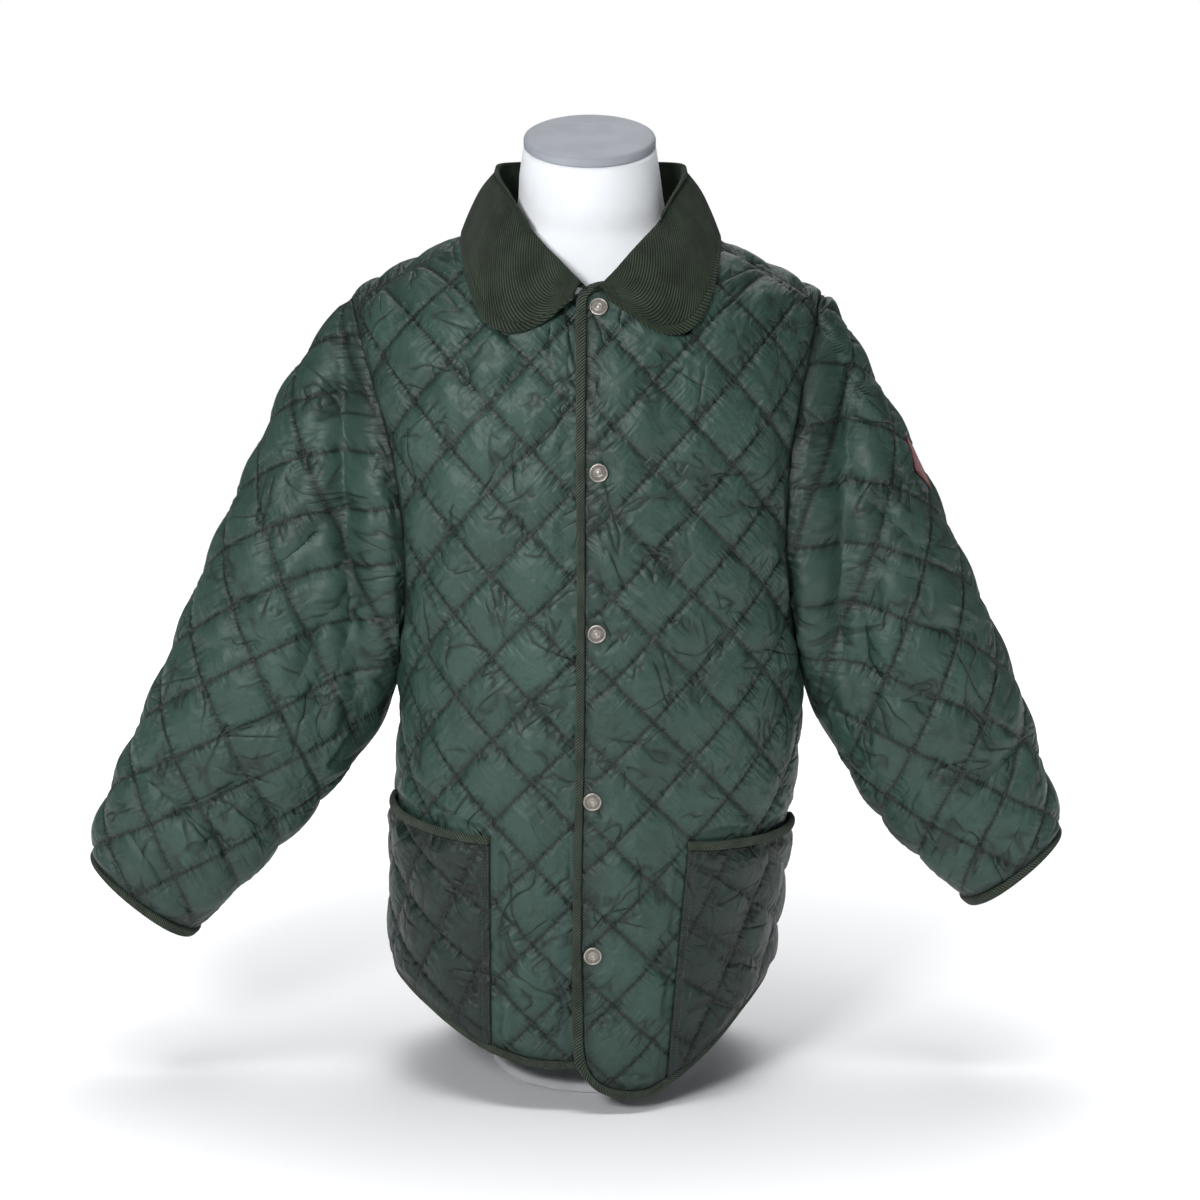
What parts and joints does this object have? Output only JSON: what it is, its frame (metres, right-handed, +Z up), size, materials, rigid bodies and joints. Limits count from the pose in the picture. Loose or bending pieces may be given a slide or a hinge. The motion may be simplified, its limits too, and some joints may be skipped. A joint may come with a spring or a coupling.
{
  "type": "quilted jacket on a dress form",
  "caption": "Diamond-quilted jacket, snapped shut, with a corduroy collar, patch pockets and bound edges, worn by a limbless dress form on a round stand.",
  "frame": {"origin": "centre of the stand base's underside, on the floor", "axes": "+Z up, the jacket's front faces -Y, +X is to the right of someone looking at the front (the wearer's left)"},
  "size_m": [0.9336, 0.32, 0.9139],
  "materials": {
    "nylon": "satin",
    "corduroy": "matte",
    "pewter": "satin",
    "twill": "matte",
    "form_cloth": "matte",
    "cap_plastic": "satin",
    "steel": "satin"
  },
  "bodies": {
    "root": {"front_right_hand": "nylon", "front_left_hand": "nylon", "back": "nylon", "sleeve_right_hand": "nylon", "sleeve_left_hand": "nylon", "pocket_right_hand": "nylon", "pocket_left_hand": "nylon", "cuff_binding_right_hand": "corduroy", "cuff_binding_left_hand": "corduroy", "pocket_binding_right_hand": "corduroy", "pocket_binding_left_hand": "corduroy", "edge_binding_left_hand": "corduroy", "edge_binding_right_hand": "corduroy", "hem_binding_right_hand": "corduroy", "hem_binding_back": "corduroy", "collar": "corduroy", "snap_1": "pewter", "snap_2": "pewter", "snap_3": "pewter", "snap_4": "pewter", "snap_5": "pewter", "sleeve_patch": "twill", "dress_form": "form_cloth", "neck_cap": "cap_plastic", "stand_pole": "steel", "stand_base": "steel"}
  },
  "joints": []
}
